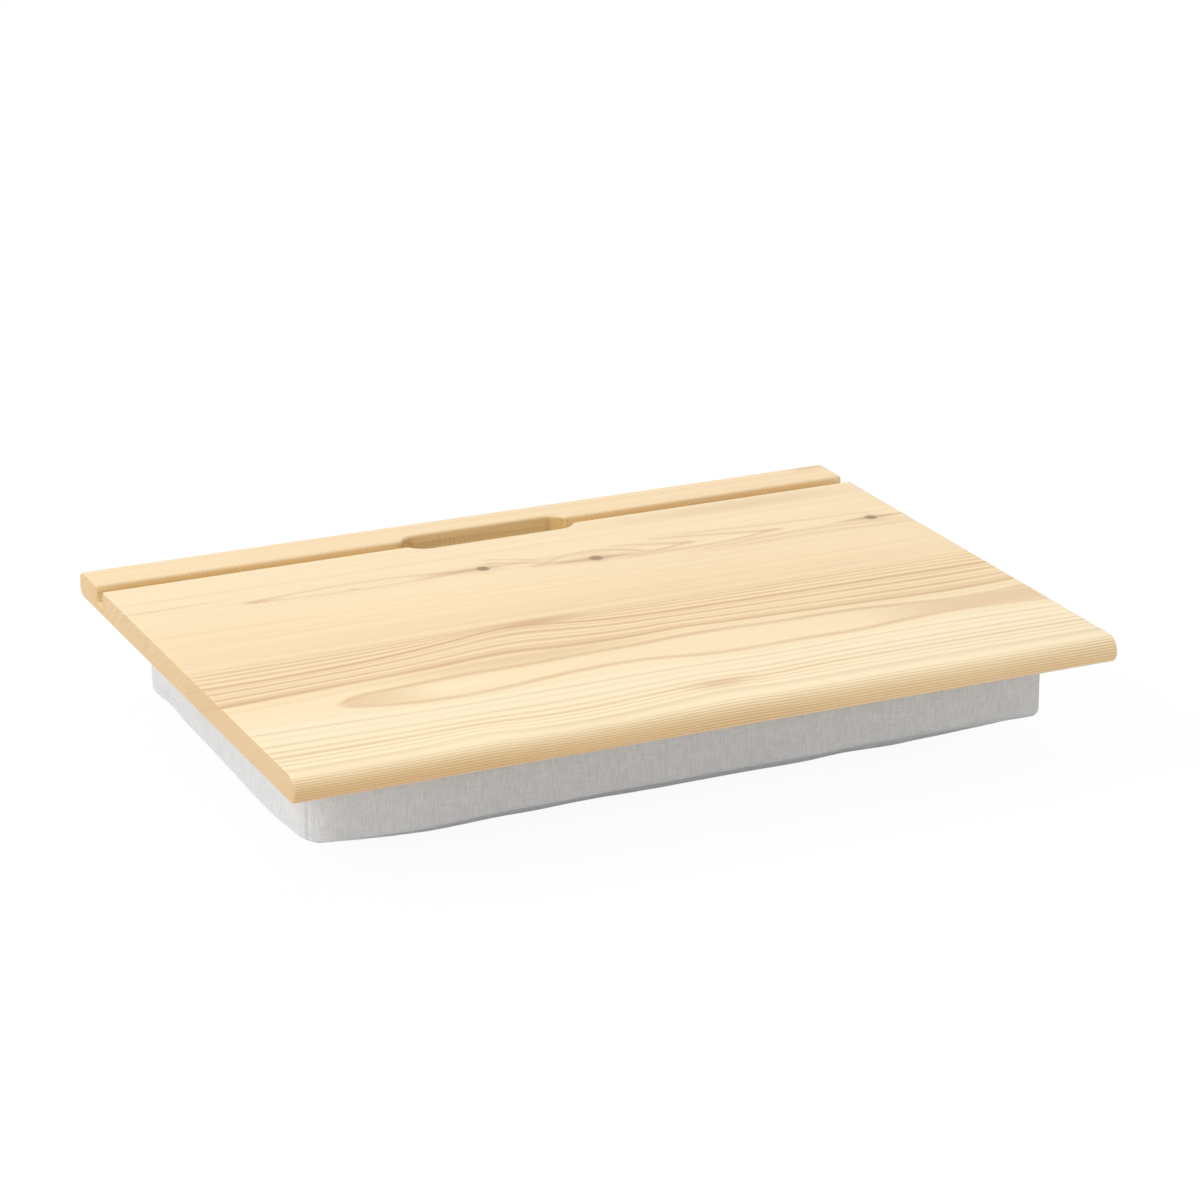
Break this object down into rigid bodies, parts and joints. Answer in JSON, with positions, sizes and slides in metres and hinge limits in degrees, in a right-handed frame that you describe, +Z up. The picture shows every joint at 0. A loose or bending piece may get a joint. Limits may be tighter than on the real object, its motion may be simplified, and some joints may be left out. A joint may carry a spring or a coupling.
{
  "type": "lap tray with cushion",
  "caption": "Flat wooden lap tray with a full-width tablet slot and a finger recess, held by hook and loop strips on a zipped box cushion filled with beads.",
  "frame": {"origin": "on the surface that the cushion rests on, under the middle of the board", "axes": "+X to the user's right along the board's long side, +Y away from the user to the slot's side, +Z up"},
  "size_m": [0.45, 0.33, 0.07],
  "materials": {
    "board_wood": "satin lacquered pine",
    "hook_tape": "woven nylon with hooks",
    "loop_tape": "brushed nylon loops",
    "cover_cloth": "plain woven cotton",
    "zip_tape_cloth": "herringbone tape",
    "zip_plastic": "moulded",
    "zip_metal": "satin nickel",
    "bag_cloth": "thin non-woven",
    "beads": "loose foam beads"
  },
  "bodies": {
    "cushion": {"cover_top": "cover_cloth", "cover_base": "cover_cloth", "cover_front": "cover_cloth", "cover_left": "cover_cloth", "cover_right": "cover_cloth", "cover_back_upper": "cover_cloth", "cover_back_lower": "cover_cloth", "loop_strip_front_left": "loop_tape", "loop_strip_front_right": "loop_tape", "loop_strip_back_left": "loop_tape", "loop_strip_back_right": "loop_tape", "zip_tape_upper": "zip_tape_cloth", "zip_tape_lower": "zip_tape_cloth", "zip_teeth_upper": "zip_plastic", "zip_teeth_lower": "zip_plastic", "zip_top_stops": "zip_plastic", "zip_bottom_stop": "zip_plastic", "bead_bag_upper": "bag_cloth", "bead_bag_lower": "bag_cloth", "bead_fill": "beads"},
    "board": {"front_plank": "board_wood", "rear_plank": "board_wood", "hook_strip_front_left": "hook_tape", "hook_strip_front_right": "hook_tape", "hook_strip_back_left": "hook_tape", "hook_strip_back_right": "hook_tape"},
    "zip_slider": {"zip_slider": "zip_metal"},
    "zip_pull": {"zip_pull": "zip_metal"}
  },
  "joints": [
    {"name": "board_lift", "type": "slide", "parent": "cushion", "child": "board", "axis": [0, 0, 1], "range_m": [0, 0.12]},
    {"name": "zip_slide", "type": "slide", "parent": "cushion", "child": "zip_slider", "axis": [-1, 0, 0], "range_m": [0, 0.2628], "deforming": ["zip_teeth_upper", "zip_teeth_lower"]},
    {"name": "pull_flip", "type": "hinge", "parent": "zip_slider", "child": "zip_pull", "pos_m": [0.1314, 0.12095, 0.03288], "axis": [0, 0, -1], "range_deg": [0, 175]}
  ]
}
